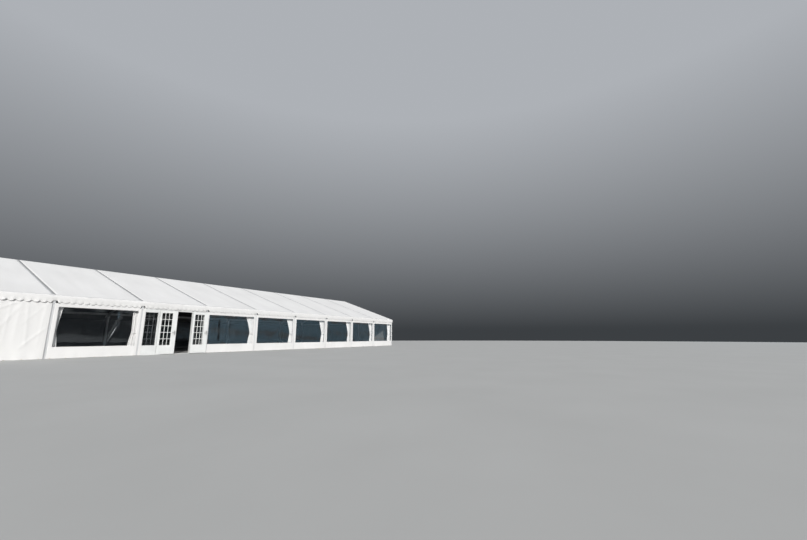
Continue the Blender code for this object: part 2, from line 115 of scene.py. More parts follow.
def emboss(material, height, *pattern):
    """Raise a grain from the surface, on top of any raised before it."""
    tree = material.node_tree
    normal = shader_of(material)["Normal"]
    bump = wire(tree, "ShaderNodeBump", {"Height": grain(material, *pattern), "Distance": height})
    if normal.is_linked:
        tree.links.new(normal.links[0].from_socket, bump.inputs["Normal"])
    tree.links.new(bump.outputs["Normal"], normal)


def satin_aluminium(name, colour, dark, metallic=0.5):
    """Anodised extrusion: fine draw lines, water marks and a slightly uneven sheen."""
    material = plain_finish(name, colour, 0.38, metallic)
    tint(material, dark, colour, 2.5, (1.0, 1.0, 0.5))
    polish(material, 0.30, 0.50, 9.0)
    emboss(material, 0.0004, 60.0, (1.0, 1.0, 0.05))
    return material


def ease_edges(piece, width, segments=2):
    ease = piece.modifiers.new("ease", "BEVEL")
    ease.width = width
    ease.segments = segments
    ease.limit_method = "ANGLE"
    ease.harden_normals = True


def dress(name, material, edge=EXTRUSION_EDGE):
    """Give a carried-over frame piece its finish and ease its edges."""
    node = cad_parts[name]
    node.material_slots[0].material = material
    node.modifiers.new("weld", "WELD").merge_threshold = WELD_REACH
    ease_edges(node, edge)


frame_metal = satin_aluminium("frame aluminium", (0.72, 0.73, 0.74), (0.58, 0.59, 0.60))
for number in range(1, PORTAL_COUNT + 1):
    dress(f"portal_{number}", frame_metal)

portal_boxes = [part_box(f"portal_{number}") for number in range(1, PORTAL_COUNT + 1)]
portal_low, portal_high = portal_boxes[0]
portal_places = [(low.x + high.x) / 2 for low, high in portal_boxes]
BAY = portal_places[1] - portal_places[0]
LEG_WIDTH = portal_high.x - portal_low.x
RIDGE_Y = (portal_low.y + portal_high.y) / 2
HALF_SPAN = (portal_high.y - portal_low.y) / 2

# Long beams and gable frames. A ridge beam, two purlins and two eave beams tie the portals
# together, and two posts with a cross rail stiffen each gable. All are the same extrusion as
# the portals, let into their tops and held by brackets.
LONG_BEAMS = ("ridge_beam", "purlin_front", "purlin_rear", "eave_beam_front", "eave_beam_rear")
for name in (*LONG_BEAMS, "gable_frame_left", "gable_frame_right"):
    dress(name, frame_metal)

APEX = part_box("ridge_beam")[1].z
eave_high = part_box("eave_beam_front")[1]
EAVE_BEAM_REACH = RIDGE_Y - eave_high.y
SLOPE = (APEX - eave_high.z) / EAVE_BEAM_REACH
PITCH = math.atan(SLOPE)
EAVE = APEX - SLOPE * HALF_SPAN
PURLIN_REACH = RIDGE_Y - sum(corner.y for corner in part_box("purlin_front")) / 2


def rafter_top(reach):
    """Height of the rafters' top face at a distance from the ridge."""
    return APEX - SLOPE * reach


# Knee and ridge plates. Flat aluminium plates lie against the faces of a portal over each joint
# and are held by four hexagon bolts with washers, tightened through the hollow section. The
# outer faces of the two end portals have none, because the gable cloth lies against them.
PLATE_THICKNESS = 0.006
PLATE_GAP = 0.0005
PLATE_EDGE = 0.0015
PLATE_REACH = 0.20
PLATE_HALF = 0.045
KNEE_INSET = 0.065
KNEE_DROP = 0.075
RIDGE_DROP = 0.14
BOLT_HEAD = 0.011
BOLT_HEIGHT = 0.008
WASHER_HEIGHT = 0.0025
WASHER_SIDES = 16
BOLTS_ALONG = (0.07, 0.16)
BOLTS_ACROSS = (-0.022, 0.022)
SHARP_ANGLE = 30.0
FIXING_SIZES = ("Head Radius", "Head Height", "Washer Radius", "Washer Height", "Head Sides")


def linked(name, data):
    """A new object in the scene."""
    made = bpy.data.objects.new(name, data)
    bpy.context.scene.collection.objects.link(made)
    return made


def close_piece(name, builder, finish, body="marquee", sharp=SHARP_ANGLE):
    """Make a mesh with its faces pointing out a piece that rides on a body."""
    bmesh.ops.recalc_face_normals(builder, faces=builder.faces)
    mesh = bpy.data.meshes.new(name)
    builder.to_mesh(mesh)
    builder.free()
    mesh.shade_smooth()
    mesh.set_sharp_from_angle(angle=math.radians(sharp))
    mesh.materials.append(finish)
    piece = linked(name, mesh)
    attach(piece, body)
    return piece


def run_section(builder, path, profile, across):
    """Carry a closed section along a path, mitred where the path bends."""
    rings = []
    for index, point in enumerate(path):
        steps = []
        if index > 0:
            steps.append((point - path[index - 1]).normalized())
        if index + 1 < len(path):
            steps.append((path[index + 1] - point).normalized())
        ahead = sum(steps, Vector()).normalized()
        up = ahead.cross(across).normalized()
        stretch = 1.0 / max(ahead.dot(steps[0]), 0.3)
        rings.append([builder.verts.new(point + across * a + up * (b * stretch)) for a, b in profile])
    for one, two in zip(rings, rings[1:]):
        for index in range(len(profile)):
            after = (index + 1) % len(profile)
            builder.faces.new((one[index], one[after], two[after], two[index]))
    builder.faces.new(rings[0])
    builder.faces.new(rings[-1])


def fixing_tree(finish):
    """Nodes that set a washer and a turned head on each point, facing along its direction."""
    tree = bpy.data.node_groups.new("fixings", "GeometryNodeTree")
    for way in ("OUTPUT", "INPUT"):
        tree.interface.new_socket("Geometry", in_out=way, socket_type="NodeSocketGeometry")
    for title in FIXING_SIZES:
        kind = "NodeSocketInt" if title == "Head Sides" else "NodeSocketFloat"
        tree.interface.new_socket(title, in_out="INPUT", socket_type=kind)
    given = wire(tree, "NodeGroupInput").outputs
    joined = wire(tree, "GeometryNodeJoinGeometry")
    for part, sides in (("Head", given["Head Sides"]), ("Washer", WASHER_SIDES)):
        solid = wire(tree, "GeometryNodeMeshCylinder",
                     {"Vertices": sides, "Radius": given[f"{part} Radius"],
                      "Depth": given[f"{part} Height"]})
        height = wire(tree, "ShaderNodeMath", {0: given[f"{part} Height"], 1: 0.5},
                      operation="MULTIPLY").outputs["Value"]
        if part == "Head":
            height = wire(tree, "ShaderNodeMath", {0: height, 1: given["Washer Height"]},
                          operation="ADD").outputs["Value"]
        place = wire(tree, "ShaderNodeCombineXYZ", {"Z": height})
        lift = wire(tree, "GeometryNodeTransform",
                    {"Geometry": solid.outputs["Mesh"], "Translation": place.outputs["Vector"]})
        tree.links.new(lift.outputs["Geometry"], joined.inputs["Geometry"])
    facing = wire(tree, "GeometryNodeInputNamedAttribute", {"Name": "facing"},
                  data_type="FLOAT_VECTOR")
    turn = wire(tree, "FunctionNodeAlignRotationToVector",
                {"Vector": facing.outputs["Attribute"]}, axis="Z")
    onto = wire(tree, "GeometryNodeInstanceOnPoints",
                {"Points": given["Geometry"], "Instance": joined.outputs["Geometry"],
                 "Rotation": turn.outputs["Rotation"]})
    real = wire(tree, "GeometryNodeRealizeInstances", {"Geometry": onto.outputs["Instances"]})
    finished = wire(tree, "GeometryNodeSetMaterial",
                    {"Geometry": real.outputs["Geometry"], "Material": finish})
    wire(tree, "NodeGroupOutput", {"Geometry": finished.outputs["Geometry"]})
    return tree


def set_fixings(name, places, facings, tree, sizes, body="marquee"):
    """Fixings on the places, as one plain mesh. The sizes are in the order of FIXING_SIZES."""
    mesh = bpy.data.meshes.new(name)
    mesh.from_pydata([tuple(place) for place in places], [], [])
    facing = mesh.attributes.new("facing", "FLOAT_VECTOR", "POINT")
    facing.data.foreach_set("vector", np.array(facings, dtype=np.float32).ravel())
    piece = linked(name, mesh)
    repeat = piece.modifiers.new("fixings", "NODES")
    repeat.node_group = tree
    sockets = {item.name: item for item in tree.interface.items_tree if item.in_out == "INPUT"}
    for title, value in zip(FIXING_SIZES, sizes):
        repeat[sockets[title].identifier] = value
    shown = piece.evaluated_get(bpy.context.evaluated_depsgraph_get())
    made = bpy.data.meshes.new_from_object(shown)
    piece.modifiers.remove(repeat)
    piece.data = made
    bpy.data.meshes.remove(mesh)
    made.shade_smooth()
    made.set_sharp_from_angle(angle=math.radians(SHARP_ANGLE))
    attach(piece, body)


bolt_steel = plain_finish("galvanised bolts", (0.55, 0.56, 0.56), 0.42, metallic=1.0)
polish(bolt_steel, 0.30, 0.55, 300.0)
emboss(bolt_steel, 0.0003, 700.0)
plates = bmesh.new()
bolt_places = []
bolt_facings = []
HALF_LENGTH = portal_places[-1] + LEG_WIDTH
for middle in portal_places:
    for way in (-1, 1):
        if abs(middle + way * BAY) > HALF_LENGTH:
            continue
        back = way * (LEG_WIDTH / 2 + PLATE_GAP)
        front = way * (LEG_WIDTH / 2 + PLATE_THICKNESS)
        profile = [(back, -PLATE_HALF), (front, -PLATE_HALF), (front, PLATE_HALF), (back, PLATE_HALF)]
        for side in (-1, 0, 1):
            reach = abs(side) * (HALF_SPAN - KNEE_INSET)
            height = rafter_top(reach) - (KNEE_DROP if side else RIDGE_DROP)
            centre = Vector((middle, RIDGE_Y + side * reach, height))
            for arm in (-1, 1):
                along = Vector((0.0, arm * math.cos(PITCH), math.sin(PITCH) * (1 if side else -1)))
                if arm == side:
                    along = Vector((0.0, 0.0, -1.0))
                path = [centre - along * PLATE_HALF, centre + along * PLATE_REACH]
                run_section(plates, path, profile, Vector((1.0, 0.0, 0.0)))
                across = Vector((0.0, -along.z, along.y))
                for distance in BOLTS_ALONG:
                    for sideways in BOLTS_ACROSS:
                        spot = centre + along * distance + across * sideways
                        bolt_places.append((middle + front, spot.y, spot.z))
                        bolt_facings.append((way, 0.0, 0.0))
ease_edges(close_piece("joint_plates", plates, frame_metal), PLATE_EDGE)
fixings = fixing_tree(bolt_steel)
set_fixings("frame_bolts", bolt_places, bolt_facings, fixings,
            (BOLT_HEAD, BOLT_HEIGHT, BOLT_HEAD * 1.5, WASHER_HEIGHT, 6))

# Ground stakes. Two forged steel stakes are driven into the ground through each foot plate, and
# only their turned heads show.
STAKE_HEAD = 0.026
STAKE_HEIGHT = 0.030
STAKE_RIM = 0.010
STAKE_REACHES = (0.19, 0.29)
FOOT_PLATE_TOP = 0.012
stake_places = [(middle, RIDGE_Y + side * (HALF_SPAN - reach), FOOT_PLATE_TOP)
                for middle in portal_places for side in (-1, 1) for reach in STAKE_REACHES]
set_fixings("ground_stakes", stake_places, [(0.0, 0.0, 1.0)] * len(stake_places), fixings,
            (STAKE_HEAD * 0.55, STAKE_HEIGHT, STAKE_HEAD, STAKE_RIM, 12))

# Keder tracks. A flat extrusion runs up each leg and over the rafters, and each sheet's corded
# edge slides into the groove in its side. Its back shows as the grey line between two bays; on the
# roof that grey is partly the metal's own and partly painted shade.
TRACK_HALF = 0.028
TRACK_HEIGHT = 0.010
TRACK_BASE = 0.001
TRACK_EASE = 0.002
TRACK_MIDDLE = 0.010
TRACK_DISH = 0.001
TRACK_END_REACH = HALF_SPAN - 0.05
GROOVE_FLOOR = TRACK_HALF - 0.006
GROOVE_LOW = 0.002
GROOVE_HIGH = 0.0062
LEG_TRACK_FOOT = 0.004
LEG_TRACK_TOP = EAVE - 0.105
LEG_TRACK_SHARE = 0.82
track_half = [(TRACK_HALF, TRACK_BASE), (TRACK_HALF, GROOVE_LOW), (GROOVE_FLOOR, GROOVE_LOW),
              (GROOVE_FLOOR, GROOVE_HIGH), (TRACK_HALF, GROOVE_HIGH),
              (TRACK_HALF, TRACK_HEIGHT - TRACK_EASE), (TRACK_HALF - 2 * TRACK_EASE, TRACK_HEIGHT),
              (TRACK_MIDDLE, TRACK_HEIGHT), (TRACK_MIDDLE - TRACK_EASE, TRACK_HEIGHT - TRACK_DISH)]
track_profile = track_half + [(-a, b) for a, b in reversed(track_half)]
# The roof tracks are darker than the other aluminium: the metal's own grey with painted shade of the
# seam added.
roof_track_shade_metal = satin_aluminium("keder track", (0.40, 0.405, 0.41), (0.33, 0.335, 0.34), 0.1)
leg_metal = satin_aluminium("leg track", (0.74, 0.745, 0.75), (0.64, 0.645, 0.65), 0.2)
for number, middle in enumerate(portal_places[1:-1], start=2):
    tracks = bmesh.new()
    path = [Vector((middle, RIDGE_Y + reach, rafter_top(abs(reach))))
            for reach in (-TRACK_END_REACH, 0.0, TRACK_END_REACH)]
    run_section(tracks, path, track_profile, Vector((-1.0, 0.0, 0.0)))
    close_piece(f"roof_track_{number}", tracks, roof_track_shade_metal)
leg_profile = [(a * LEG_TRACK_SHARE, b) for a, b in track_profile]
leg_tracks = bmesh.new()
for middle in portal_places:
    for side in (-1, 1):
        path = [Vector((middle, RIDGE_Y + side * HALF_SPAN, z)) for z in (LEG_TRACK_FOOT, LEG_TRACK_TOP)]
        run_section(leg_tracks, path, leg_profile, Vector((side, 0.0, 0.0)))
close_piece("leg_tracks", leg_tracks, leg_metal)

# Roof sheets. One sheet of white coated polyester covers each bay from eave to eave. It is pulled
# tight over the purlins and rounds the eave beam, and sags a little between them. Its inner face
# is painted dark grey: painted shade, so that the inside looks dark.
CLOTH_LIFT = 0.004
CLOTH_THICKNESS = 0.002
EAVE_EDGE_REACH = HALF_SPAN + 0.0585
EAVE_BEND = 0.055
EAVE_BENDS = 6
EAVE_STEP = 0.02
LIP_BOTTOM = EAVE - 0.043
ROOF_SAG = 0.016
ROOF_EDGE = 0.026
ROOF_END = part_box(f"roof_sheet_{BAY_COUNT}")[1].x - 0.004
ROOF_STEPS = (0.10, 0.11)
PULL_COUNT = 6
PULL_WIDTH = 0.10
PULL_DEPTH = 0.004


def spaced(start, end, step):
    """Even steps from start to end, none longer than step."""
    return np.linspace(start, end, max(2, math.ceil(abs(end - start) / step) + 1))


def ramp(distance, run):
    """A share that rises from 0 to 1 over a run."""
    return np.clip(distance / run, 0, 1)


def cloth_piece(name, us, vs, shape, finishes, replaced=None, hole=None, thickness=CLOTH_THICKNESS,
                flip=False):
    """A fine net of cloth. Shape turns its two running lengths into places, and hole says which
    meshes of the net are cut away."""
    u, v = np.meshgrid(us, vs, indexing="ij")
    points = np.stack(np.broadcast_arrays(*shape(u, v)), axis=-1).reshape(-1, 3)
    corner = np.arange(u.size).reshape(u.shape)
    quads = np.stack([corner[:-1, :-1], corner[1:, :-1], corner[1:, 1:], corner[:-1, 1:]], axis=-1)
    if hole is not None:
        quads = quads[~hole((u[:-1, :-1] + u[1:, 1:]) / 2, (v[:-1, :-1] + v[1:, 1:]) / 2)]
    quads = quads.reshape(-1, 4)
    if flip:
        quads = quads[:, ::-1]
    used, places = np.unique(quads, return_inverse=True)
    mesh = bpy.data.meshes.new(name)
    mesh.from_pydata(points[used].tolist(), [], places.reshape(-1, 4).tolist())
    mesh.shade_smooth()
    for finish in finishes:
        mesh.materials.append(finish)
    piece = linked(name, mesh)
    cloth = piece.modifiers.new("thickness", "SOLIDIFY")
    cloth.thickness = thickness
    cloth.offset = 0.0
    cloth.material_offset = len(finishes) - 1
    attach(piece, "marquee")
    if replaced:
        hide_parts(replaced)
    return piece


def coated_cloth(name, light, dark, streak):
    """White coated polyester: a satin face with faint rain streaks and a fine woven bump."""
    material = plain_finish(name, light, 0.42, specular=0.1)
    tint(material, dark, light, 0.9, streak)
    polish(material, 0.34, 0.52, 5.0)
    emboss(material, 0.006, 2.2, (1.0, 1.0, 1.0), 6.0)
    emboss(material, 0.0002, 900.0)
    return material


def shaded_inner_face(name, colour, dark, light):
    """The dull back of a coated cloth, painted dark as painted shade so that the inside looks dark, and
    a little uneven where the coating is thin.
    """
    material = plain_finish(name, colour, 0.7)
    tint(material, dark, light, 1.5)
    emboss(material, 0.001, 40.0)
    return material


def over_the_eave(lift, bottom, top_reach, step):
    """Points of a section, as reach and height, that rises from a hanging edge, rounds the eave
    and climbs the slope, lifted off the rafters."""
    edge = EAVE_EDGE_REACH + lift - CLOTH_LIFT
    corner_height = rafter_top(edge) + lift / math.cos(PITCH)
    radius = EAVE_BEND * math.tan(math.pi / 4 + PITCH / 2)
    centre = Vector((edge - radius, corner_height - EAVE_BEND))
    points = [(edge, z) for z in spaced(bottom, centre.y, EAVE_STEP)]
    for bend in range(1, EAVE_BENDS + 1):
        angle = (math.pi / 2 - PITCH) * bend / EAVE_BENDS
        points.append((centre.x + radius * math.cos(angle), centre.y + radius * math.sin(angle)))
    for reach in spaced(points[-1][0], top_reach, step)[1:]:
        points.append((reach, rafter_top(reach) + lift / math.cos(PITCH)))
    return np.array(points)


def sag_share(reach):
    """How slack the sheet is at a distance from the ridge: none on a beam, full between two."""
    share = np.zeros_like(reach)
    for near, far in ((0.0, PURLIN_REACH), (PURLIN_REACH, EAVE_BEAM_REACH)):
        share = np.maximum(share, np.sin(np.pi * ramp(np.abs(reach) - near, far - near)) ** 2)
    return share


roof_cloth = coated_cloth("roof cloth", (0.90, 0.89, 0.88), (0.85, 0.84, 0.83), (1.6, 0.35, 0.35))
# The roof's inner face is painted near-black: painted shade for the inside.
roof_inner_painted_shade = shaded_inner_face("roof cloth inner face in painted shade", (0.10, 0.10, 0.105), (0.08, 0.08, 0.085),
                        (0.12, 0.12, 0.125))
rear_half = over_the_eave(CLOTH_LIFT, LIP_BOTTOM, 0.0, ROOF_STEPS[1])
section_reach, section_height = np.concatenate([rear_half * (-1, 1), rear_half[-2::-1]]).T
for bay in range(1, BAY_COUNT + 1):
    left = -ROOF_END if bay == 1 else portal_places[bay - 1] + ROOF_EDGE
    right = ROOF_END if bay == BAY_COUNT else portal_places[bay] - ROOF_EDGE
    rng = np.random.default_rng(bay)
    pulls = [(rng.uniform(0.25, 0.75), rng.uniform(0.15, 0.5), rng.choice((-1, 1)))
             for pull in range(PULL_COUNT)]

    def roof_shape(u, v):
        reach = section_reach[v.astype(int)]
        slack = sag_share(reach)
        across = (u - portal_places[0]) % BAY / BAY
        across = np.where((u < portal_places[0]) | (u > portal_places[-1]), 0.0, across)
        sag = ROOF_SAG * slack * np.sin(np.pi * across)
        for place, spare, side in pulls:
            away = (across - place) * BAY
            sag += PULL_DEPTH * np.exp(-((away / PULL_WIDTH) ** 2)) * slack * (side * reach > 0)
        return u, RIDGE_Y + reach + sag * 0.2 * np.sign(reach), section_height[v.astype(int)] - sag

    sheet = cloth_piece(f"roof_cloth_{bay}", spaced(left, right, ROOF_STEPS[0]),
                        np.arange(len(section_reach)), roof_shape, [roof_cloth, roof_inner_painted_shade],
                        replaced=f"roof_sheet_{bay}")

# Verge hems. The two end sheets stop past the gables in a hem of the same cloth, welded round a
# stout cord.
HEM_RADIUS = 0.008
HEM_SIDES = 10
hem_angles = [2 * math.pi * step / HEM_SIDES for step in range(HEM_SIDES)]
hem_profile = [(HEM_RADIUS * math.cos(angle), HEM_RADIUS * math.sin(angle)) for angle in hem_angles]
verge = bmesh.new()
for end in (-ROOF_END, ROOF_END):
    path = [Vector((end, RIDGE_Y + reach, height))
            for reach, height in zip(section_reach[::3], section_height[::3])]
    run_section(verge, path, hem_profile, Vector((1.0, 0.0, 0.0)))
close_piece("verge_hems", verge, roof_cloth, sharp=60.0)

# Valances. A strip of coated cloth is welded to the roof above each eave beam, rounds the eave and
# hangs free, with a scalloped lower edge bound in tape. Its lengths are lapped at the portals,
# where the edge is nicked.
LONG_SIDES = ((-1, "front"), (1, "rear"))
SCALLOPS = 14
SCALLOP_PITCH = BAY / SCALLOPS
SCALLOP_DEPTH = 0.065
SCALLOP_STEPS = 8
VALANCE_LIFT = 0.008
VALANCE_START = HALF_SPAN - 0.10
VALANCE_REST = EAVE - 0.07
VALANCE_STEP = 0.03
VALANCE_CUSP = EAVE - 0.235
VALANCE_END = ROOF_END - 0.004
VALANCE_LAP = 0.02
LAP_PROUD = 0.002
NICK_HALF = 0.10
NICK_SLOPE = 0.03
NICK_RISE = 0.035
BINDING = 0.014
BINDING_THICKNESS = 0.0045
BINDING_PROUD = 0.0012
SLACK_LEAN = 0.016
SLACK_TWIST = 0.018
EVEN_LEAN = -0.028
ROWS_BELOW = 7


def wave(x, length, phase=0.0):
    return np.sin(2 * np.pi * x / length + phase)


def cut_lines(start, end, marks, step):
    """Running lengths from start to end that also fall on the marks."""
    stops = sorted({start, end, *(mark for mark in marks if start < mark < end)})
    runs = [spaced(a, b, step)[:-1] for a, b in zip(stops, stops[1:])]
    return np.concatenate([*runs, [end]])


def from_portal(x):
    """Distance to the nearest portal."""
    return np.abs((x - portal_places[0] + BAY / 2) % BAY - BAY / 2)


def valance_foot(x):
    """Height of the scalloped edge, with its nicks at the portals."""
    part = ((x - portal_places[0]) / SCALLOP_PITCH) % 1.0
    foot = VALANCE_CUSP - SCALLOP_DEPTH * np.sin(np.pi * part)
    inner = (x > portal_places[0] + BAY / 2) & (x < portal_places[-1] - BAY / 2)
    nick = ramp(NICK_HALF - from_portal(x), NICK_SLOPE) * inner
    return foot + nick * (VALANCE_CUSP + NICK_RISE - foot)


wall_cloth = coated_cloth("wall cloth", (0.84, 0.83, 0.82), (0.79, 0.78, 0.77), (1.2, 1.2, 0.3))
hang_section = over_the_eave(VALANCE_LIFT, VALANCE_REST, VALANCE_START, VALANCE_STEP)[::-1]
hang_reach, hang_top = hang_section[-1]
last_row = len(hang_section) - 1
columns = cut_lines(-VALANCE_END, VALANCE_END, portal_places, SCALLOP_PITCH / SCALLOP_STEPS)
for side, title in LONG_SIDES:
    rng = np.random.default_rng(100 + side)
    phase = rng.uniform(0, 2 * np.pi, 2)

    def hang(x, fall):
        """Reach of the hanging part, where fall is 0 at the eave and 1 at the scalloped edge. It
        leans in to the taut walls, but hangs freer and turns its scallops over the slack one."""
        first_bay = ramp(portal_places[1] - x, 0.3)
        lean = (EVEN_LEAN + SLACK_LEAN * first_bay) * fall**1.6
        lean -= SLACK_TWIST * first_bay * wave(x - portal_places[0], SCALLOP_PITCH) * fall**2
        flutter = 0.005 * wave(x, 0.83, phase[0]) * fall
        flutter += 0.003 * wave(x, SCALLOP_PITCH, -np.pi / 2) * fall**2
        flutter += 0.003 * wave(x, 0.31, phase[1]) * fall
        return hang_reach + lean + flutter + LAP_PROUD * (from_portal(x) < VALANCE_LAP)

    def strip_shape(u, v):
        reach, height = hang_section[np.minimum(v.astype(int), last_row)].transpose(2, 0, 1)
        fall = ramp(v - last_row, ROWS_BELOW)
        below = hang_top + (valance_foot(u) - hang_top) * fall
        return (u, RIDGE_Y + side * np.where(fall > 0, hang(u, fall), reach),
                np.where(fall > 0, below, height))

    def tape_shape(u, v):
        foot = valance_foot(u)
        fall = 1 - BINDING * (1 - v) / (hang_top - foot)
        return (u, RIDGE_Y + side * (hang(u, fall) + BINDING_PROUD),
                foot + BINDING * (1 - v) - 0.001)

    strip = cloth_piece(f"valance_cloth_{title}", columns, np.arange(last_row + 1 + ROWS_BELOW),
                        strip_shape, [wall_cloth], replaced=f"valance_{title}", flip=side > 0)
    tape = cloth_piece(f"valance_tape_{title}", columns, np.array([0.0, 1.0]), tape_shape,
                       [wall_cloth], thickness=BINDING_THICKNESS, flip=side > 0)

# Walls. A hung panel of coated cloth closes each bay, corded into the leg tracks and hemmed at the
# ground. A border is welded round its window. In front, the panel without a window hangs slack
# from hooks under the eave beam, laced to the legs, so that a narrow gap shows beside each.
PLAIN_BAY = 1
DOOR_BAY = 3
WALL_FACE = HALF_SPAN + 0.0075
WALL_EDGE = 0.019
WALL_TOP = EAVE - 0.105
WALL_FOOT = 0.002
WALL_STEPS = (0.035, 0.022, 0.045)
SLACK_GAP = 0.030
HEAD_START = EAVE - 0.33
HEAD_RECESS = 0.045
HEM_HEIGHT = 0.03
HEM_PROUD = 0.003
WELT = 0.028
WELT_PROUD = 0.0015
CORNER_CUT = 0.11
CORNER_CUT_BOTTOM = VALANCE_CUSP - 0.065
DOOR_CLOTH_TOP = 2.09
DOOR_CLOTH_LAP = 0.03
WINDOW_SIDE = 0.15
WINDOW_INSET = 0.05
EYELET_STEP = 0.50
EYELET_MARGIN = 0.12
EYELET_HEIGHT = 0.018
TAUT_FOLDS = (5, (0.001, 0.003), 2, (0.001, 0.002))
SLACK_FOLDS = (12, (0.003, 0.009), 4, (0.002, 0.004))
SLACK_PULLS = (((-0.68, -0.10), (-2.30, -1.00), 0.05, 0.010),
               ((-0.72, -0.10), (-1.50, -1.60), 0.06, 0.008),
               ((0.10, -0.95), (-0.80, -2.00), 0.05, 0.009))
eyelet_places = []
eyelet_facings = []
film_low, film_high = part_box("front_film_2_to_2")
door_low, door_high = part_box("door_frame")
# The wall cloth's inner face is painted dark grey: painted shade, so that the inside looks dark through
# the windows.
wall_inner_painted_shade = shaded_inner_face("wall cloth inner face in painted shade", (0.20, 0.205, 0.205), (0.17, 0.175, 0.175),
                        (0.22, 0.225, 0.225))


def window_of(bay):
    return (portal_places[bay - 1] + WINDOW_SIDE, portal_places[bay] - WINDOW_SIDE,
            film_low.z + WINDOW_INSET, film_high.z - WINDOW_INSET)


def inset(place, low, high):
    """Distance from the nearer of two edges."""
    return np.minimum(place - low, high - place)


def folds_for(left, right, low, high, rng, slack):
    """Long folds for one panel: upright ones, and pulls that slant down from the top corners. A
    slack panel also has listed pulls from its top right corner."""
    count, depths, pull_count, pull_depths = SLACK_FOLDS if slack else TAUT_FOLDS
    folds = []
    for index in range(count):
        x = left + (right - left) * (index + rng.uniform(0.2, 0.8)) / count
        tilt = rng.uniform(-0.08, 0.08)
        bottom = low + rng.uniform(0.02, 0.35) * (high - low)
        depth = rng.uniform(*depths)
        folds.append(((x + tilt, high + 0.25), (x - tilt, bottom), rng.uniform(0.04, 0.08), depth))
    for corner, way in ((left, 1), (right, -1)):
        for index in range(pull_count):
            start = (corner + way * rng.uniform(0.0, 0.1), high - rng.uniform(0.05, 0.3))
            end = (corner + way * rng.uniform(0.5, 1.5), high - rng.uniform(0.6, 2.0))
            depth = rng.uniform(*pull_depths)
            folds.append((start, end, rng.uniform(0.04, 0.07), depth))
    for start, end, width, depth in SLACK_PULLS if slack else ():
        folds.append(((right + start[0], high + start[1]), (right + end[0], high + end[1]), width,
                      depth))
    return folds


def creased(u, v, folds):
    """Height of long soft folds, each of which runs from start to end and dies out at both."""
    height = np.zeros_like(u)
    for start, end, width, depth in folds:
        run_u, run_v = end[0] - start[0], end[1] - start[1]
        run = run_u**2 + run_v**2
        along = ((u - start[0]) * run_u + (v - start[1]) * run_v) / run
        away = ((u - start[0]) * run_v - (v - start[1]) * run_u) / math.sqrt(run)
        fade = ramp(along, 0.25) * ramp(1 - along, 0.25)
        height += depth * fade * fade * (3 - 2 * fade) * np.exp(-((away / width) ** 2))
    return height


def wall_panel(name, side, x_span, z_span, opening, replaced, seed, step=WALL_STEPS[0],
               slack=False):
    """A panel of wall cloth, with an opening of (left, right, bottom, top) or none. The head of a
    slack one slopes in to its hooks."""
    left, right = x_span
    bottom, top = z_span
    rng = np.random.default_rng(seed)
    folds = folds_for(left, right, bottom, top, rng, slack)
    phase = rng.uniform(0, 2 * np.pi, 2)
    marks_x = [left + CORNER_CUT, right - CORNER_CUT]
    marks_z = [HEM_HEIGHT, CORNER_CUT_BOTTOM]
    if opening:
        marks_x += [opening[0], opening[1], opening[0] - WELT, opening[1] + WELT]
        marks_z += [opening[2], opening[3], opening[2] - WELT, opening[3] + WELT]

    def shape(u, v):
        from_side = inset(u, left, right)
        proud = creased(u, v, folds)
        proud += (0.006 if slack else 0.002) * (1 + wave(u, 0.75, phase[0]))
        proud += 0.008 * (1 - ramp(v, 0.35)) * (1 + wave(u, 0.43, phase[1]))
        proud *= ramp(from_side, 0.12) * (1.0 if slack else ramp(top - v, 0.15))
        if opening:
            around = -np.minimum(inset(u, *opening[:2]), inset(v, *opening[2:]))
            proud *= ramp(around, 0.10)
            proud += WELT_PROUD * (around < WELT + 0.001)
        if slack:
            proud -= HEAD_RECESS * ramp(v - HEAD_START, top - HEAD_START) * ramp(from_side, 0.06)
        proud += HEM_PROUD * (v < HEM_HEIGHT + 0.001)
        return u, RIDGE_Y + side * (WALL_FACE + proud), v

    def hole(u, v):
        cut = (inset(u, left, right) < CORNER_CUT) & (v > CORNER_CUT_BOTTOM)
        if opening:
            cut |= (inset(u, *opening[:2]) > 0) & (inset(v, *opening[2:]) > 0)
        return cut

    panel = cloth_piece(name, cut_lines(left, right, marks_x, step),
                        cut_lines(bottom, top, marks_z, step), shape, [wall_cloth, wall_inner_painted_shade],
                        replaced=replaced, hole=hole, flip=side > 0)
    area = (right - left) * (top - bottom)
    if opening:
        area -= (opening[1] - opening[0]) * (opening[3] - opening[2])
    if right - left < EYELET_STEP or bottom > EYELET_HEIGHT:
        return
    for x in spaced(left + EYELET_MARGIN, right - EYELET_MARGIN, EYELET_STEP):
        place = [float(value) for value in shape(np.array(x), np.array(EYELET_HEIGHT))]
        place[1] += side * CLOTH_THICKNESS / 2
        eyelet_places.append(place)
        eyelet_facings.append((0.0, side, 0.0))


full_height = (WALL_FOOT, WALL_TOP)
for bay in range(1, BAY_COUNT + 1):
    node = f"front_wall_{bay}"
    left, right = portal_places[bay - 1] + WALL_EDGE, portal_places[bay] - WALL_EDGE
    opening = None if bay == PLAIN_BAY else window_of(bay)
    if bay == PLAIN_BAY:
        wall_panel(f"front_cloth_{bay}", -1, (left + SLACK_GAP, right - SLACK_GAP), full_height,
                   None, node, 200 + bay, WALL_STEPS[1], slack=True)
    elif bay == DOOR_BAY:
        wall_panel(f"front_cloth_{bay}_head", -1, (left, right), (DOOR_CLOTH_TOP, WALL_TOP),
                   None, node, 200 + bay)
        for place, span in (("left", (left, door_low.x + DOOR_CLOTH_LAP)),
                            ("right", (door_high.x - DOOR_CLOTH_LAP, right))):
            wall_panel(f"front_cloth_{bay}_{place}", -1, span, (WALL_FOOT, DOOR_CLOTH_TOP),
                       None, node, 220 + bay)
    else:
        wall_panel(f"front_cloth_{bay}", -1, (left, right), full_height, opening, node, 200 + bay)
    wall_panel(f"rear_cloth_{bay}", 1, (left, right), full_height, opening, "rear_wall",
               300 + bay, WALL_STEPS[2])

